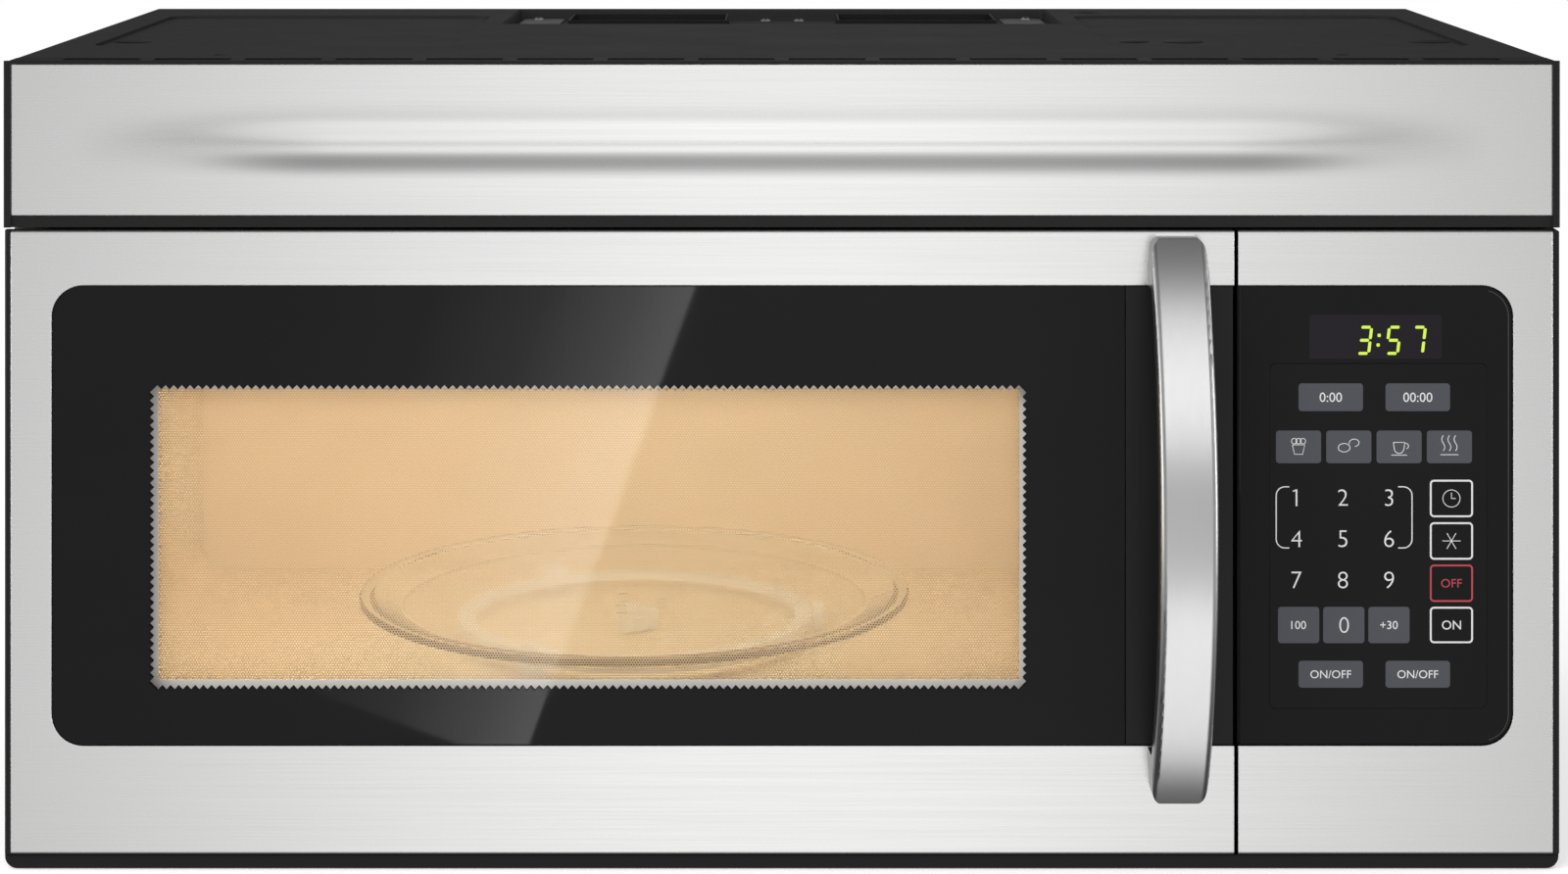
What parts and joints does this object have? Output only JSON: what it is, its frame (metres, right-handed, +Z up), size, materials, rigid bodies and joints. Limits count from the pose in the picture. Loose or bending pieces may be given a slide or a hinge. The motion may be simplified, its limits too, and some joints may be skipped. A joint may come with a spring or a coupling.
{
  "type": "over the range microwave",
  "caption": "Wall-hung microwave oven with side-hinged door, bowed handle, turntable, hood blower with top outlets, grease filters and cooktop lamp cover.",
  "frame": {"origin": "bottom centre of the flat rear face that lies on the wall", "axes": "+Z up, +X to the user's right along the width, +Y into the wall; the door faces -Y"},
  "size_m": [0.759, 0.438, 0.394],
  "materials": {
    "case_paint": "black paint, fine texture, satin",
    "zinc_steel": "zinc-coated sheet steel, satin",
    "cavity_enamel": "pale warm enamel, semi-gloss",
    "stainless": "brushed stainless steel, horizontal grain",
    "handle_steel": "fine brushed stainless, polished edges",
    "black_plastic": "black moulding, satin",
    "glass_black": "tempered glass, printed black border",
    "glass_clear": "clear glass",
    "screen_steel": "perforated steel, pale enamel",
    "keys": "printed touch membrane",
    "display": "digit module behind smoked window",
    "circuit_board": "printed board with parts",
    "white_plastic": "white moulding",
    "grey_plastic": "grey moulding",
    "aluminium": "bare aluminium",
    "charcoal": "activated charcoal pad in card frame",
    "iron_core": "varnished laminations and windings",
    "mica": "mica sheet",
    "rubber": "black rubber",
    "spring_steel": "bright steel",
    "lamp_glass": "lamp glass and socket"
  },
  "bodies": {
    "cabinet": {"outer_case": "case_paint", "back_plate": "zinc_steel", "base_plate": "case_paint", "oven_cavity": "cavity_enamel", "cavity_front_plate": "cavity_enamel", "vent_grille_frame": "black_plastic", "vent_panel": "stainless", "charcoal_filter": "charcoal", "latch_board": "white_plastic", "interlock_switches": "black_plastic", "hinge_bracket_lower": "zinc_steel", "hinge_bracket_upper": "zinc_steel", "control_frame": "black_plastic", "control_bezel": "stainless", "control_glass": "glass_black", "keypad_membrane": "keys", "display_module": "display", "control_board": "circuit_board", "turntable_motor": "zinc_steel", "blower_plate": "case_paint", "blower_housings": "black_plastic", "blower_motor": "zinc_steel", "cooling_fan_shroud": "black_plastic", "cooling_fan_motor": "iron_core", "waveguide": "zinc_steel", "waveguide_cover": "mica", "magnetron": "aluminium", "hv_transformer": "iron_core", "hv_capacitor": "aluminium", "hv_diode": "black_plastic", "noise_filter_board": "circuit_board", "cavity_lamp": "lamp_glass", "lamp_housing": "zinc_steel", "cooktop_lamps": "lamp_glass", "cord_gland": "rubber"},
    "door": {"door_frame": "black_plastic", "door_outer_skin": "stainless", "door_glass": "glass_black", "door_handle_trim": "black_plastic", "door_inner_panel": "case_paint", "door_screen": "screen_steel", "door_inner_window": "glass_clear", "choke_cover": "grey_plastic", "door_handle": "handle_steel", "handle_screws": "spring_steel", "latch_spring": "spring_steel"},
    "latch": {"latch_hooks": "white_plastic"},
    "turntable": {"turntable_coupler": "white_plastic", "glass_tray": "glass_clear"},
    "roller_ring": {"roller_ring": "white_plastic"},
    "roller_1": {"roller_1": "white_plastic"},
    "roller_2": {"roller_2": "white_plastic"},
    "roller_3": {"roller_3": "white_plastic"},
    "blower_rotor": {"blower_shaft": "spring_steel", "blower_wheel_left": "grey_plastic", "blower_wheel_right": "grey_plastic"},
    "cooling_fan": {"cooling_fan_blade": "grey_plastic"},
    "filter_left": {"grease_filter_left": "aluminium"},
    "filter_right": {"grease_filter_right": "aluminium"},
    "lamp_cover": {"lamp_cover": "glass_clear"}
  },
  "joints": [
    {"name": "door_hinge", "type": "hinge", "parent": "cabinet", "child": "door", "pos_m": [-0.3695, -0.363, 0.16], "axis": [0, 0, -1], "range_deg": [0, 100]},
    {"name": "latch_lift", "type": "slide", "parent": "door", "child": "latch", "axis": [0, 0, 1], "range_m": [0, 0.004], "stiffness_N_per_m": 200, "springref_m": -0.008, "deforming": ["latch_spring"]},
    {"name": "turntable_spin", "type": "hinge", "parent": "cabinet", "child": "turntable", "pos_m": [-0.0805, -0.1832, 0.07], "axis": [0, 0, 1], "continuous": true},
    {"name": "roller_ring_spin", "type": "hinge", "parent": "cabinet", "child": "roller_ring", "pos_m": [-0.0805, -0.1832, 0.07], "axis": [0, 0, 1], "continuous": true},
    {"name": "roller_1_spin", "type": "hinge", "parent": "roller_ring", "child": "roller_1", "pos_m": [0.0195, -0.1832, 0.0703], "axis": [1, 0, 0], "continuous": true},
    {"name": "roller_2_spin", "type": "hinge", "parent": "roller_ring", "child": "roller_2", "pos_m": [-0.1305, -0.0966, 0.0703], "axis": [-0.5, 0.866, 0], "continuous": true},
    {"name": "roller_3_spin", "type": "hinge", "parent": "roller_ring", "child": "roller_3", "pos_m": [-0.1305, -0.2698, 0.0703], "axis": [-0.5, -0.866, 0], "continuous": true},
    {"name": "blower_spin", "type": "hinge", "parent": "cabinet", "child": "blower_rotor", "pos_m": [0, -0.0842, 0.34361], "axis": [1, 0, 0], "continuous": true},
    {"name": "cooling_fan_spin", "type": "hinge", "parent": "cabinet", "child": "cooling_fan", "pos_m": [0.2813, -0.046, 0.19], "axis": [0, 1, 0], "continuous": true},
    {"name": "filter_left_slide", "type": "slide", "parent": "cabinet", "child": "filter_left", "axis": [-1, 0, 0], "range_m": [0, 0.008]},
    {"name": "filter_right_slide", "type": "slide", "parent": "cabinet", "child": "filter_right", "axis": [1, 0, 0], "range_m": [0, 0.008]},
    {"name": "lamp_cover_hinge", "type": "hinge", "parent": "cabinet", "child": "lamp_cover", "pos_m": [0, -0.2576, 0.0042], "axis": [1, 0, 0], "range_deg": [0, 85]}
  ],
  "couplings": [
    {"joint": "roller_ring_spin", "follows": "turntable_spin", "ratio": 0.5},
    {"joint": "roller_1_spin", "follows": "turntable_spin", "ratio": -6.25},
    {"joint": "roller_2_spin", "follows": "turntable_spin", "ratio": -6.25},
    {"joint": "roller_3_spin", "follows": "turntable_spin", "ratio": -6.25}
  ]
}
